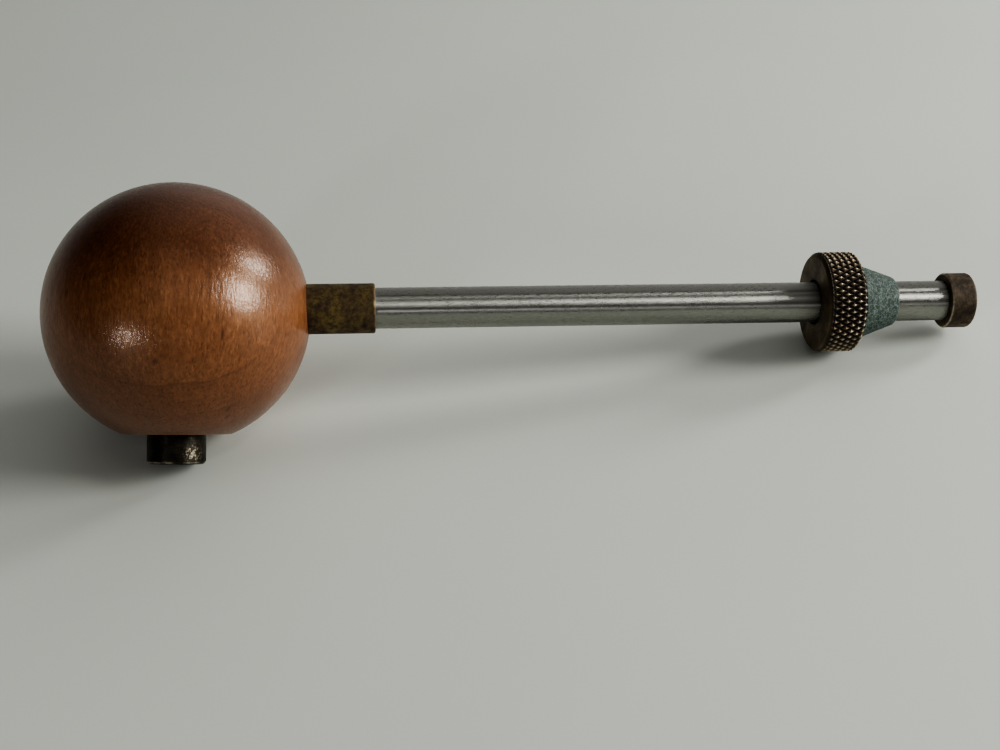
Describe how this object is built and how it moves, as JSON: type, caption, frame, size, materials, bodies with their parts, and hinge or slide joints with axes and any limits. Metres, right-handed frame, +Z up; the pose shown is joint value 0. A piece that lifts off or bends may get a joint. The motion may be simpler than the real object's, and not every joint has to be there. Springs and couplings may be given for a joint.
{
  "type": "ball-handled rod with sliding cone collar",
  "caption": "Wooden ball handle with a short brass spigot and a steel rod at right angles; a cone collar with a knurled locking wheel slides on the rod up to an end cap.",
  "frame": {"origin": "on the surface the object lies on, under the middle of its bounding box; the ball's middle is 25 mm above the surface at x = -65.8 mm", "axes": "+Z up from the surface; +X from the ball towards the end cap, level, with the rod dipping 6.8 degrees below it; the spigot points down and towards -Y, 49.9 degrees below level"},
  "size_m": [0.1816, 0.05, 0.05],
  "materials": {
    "ball_wood": "satin lacquer over orange-brown stain",
    "spigot_brass": "near-black patina, worn at the rim",
    "screw_steel": "black oxide",
    "ferrule_brass": "dark brown patina, bright outer edge",
    "rod_steel": "fine brushed along its length",
    "cap_bronze": "mottled brown bronze",
    "cone_verdigris": "rough mottled verdigris",
    "grip_rubber": "matt",
    "washer_brass": "plain",
    "wheel_brass": "dark patina, knurl crests worn bright"
  },
  "bodies": {
    "handle": {"ball": "ball_wood", "spigot": "spigot_brass", "lock_screw": "screw_steel", "ferrule": "ferrule_brass", "rod": "rod_steel", "cap_stud": "screw_steel", "end_cap": "cap_bronze"},
    "collar": {"cone_collar": "cone_verdigris", "grip_ring": "grip_rubber"},
    "washer": {"thrust_washer": "washer_brass"},
    "wheel": {"knurled_wheel": "wheel_brass"}
  },
  "joints": [
    {"name": "collar_slide", "type": "slide", "parent": "handle", "child": "collar", "axis": [0.993, 0, -0.1178], "range_m": [-0.0865, 0.0106]},
    {"name": "wheel_draw", "type": "slide", "parent": "collar", "child": "washer", "axis": [0.993, 0, -0.1178], "range_m": [-0.001, 0]},
    {"name": "wheel_turn", "type": "hinge", "parent": "washer", "child": "wheel", "pos_m": [0.06237, 0.00041, 0.01031], "axis": [0.993, 0, -0.1178], "range_deg": [-360, 0]}
  ],
  "couplings": [
    {"joint": "wheel_draw", "follows": "wheel_turn", "m_per_rad": 0.00015915}
  ]
}
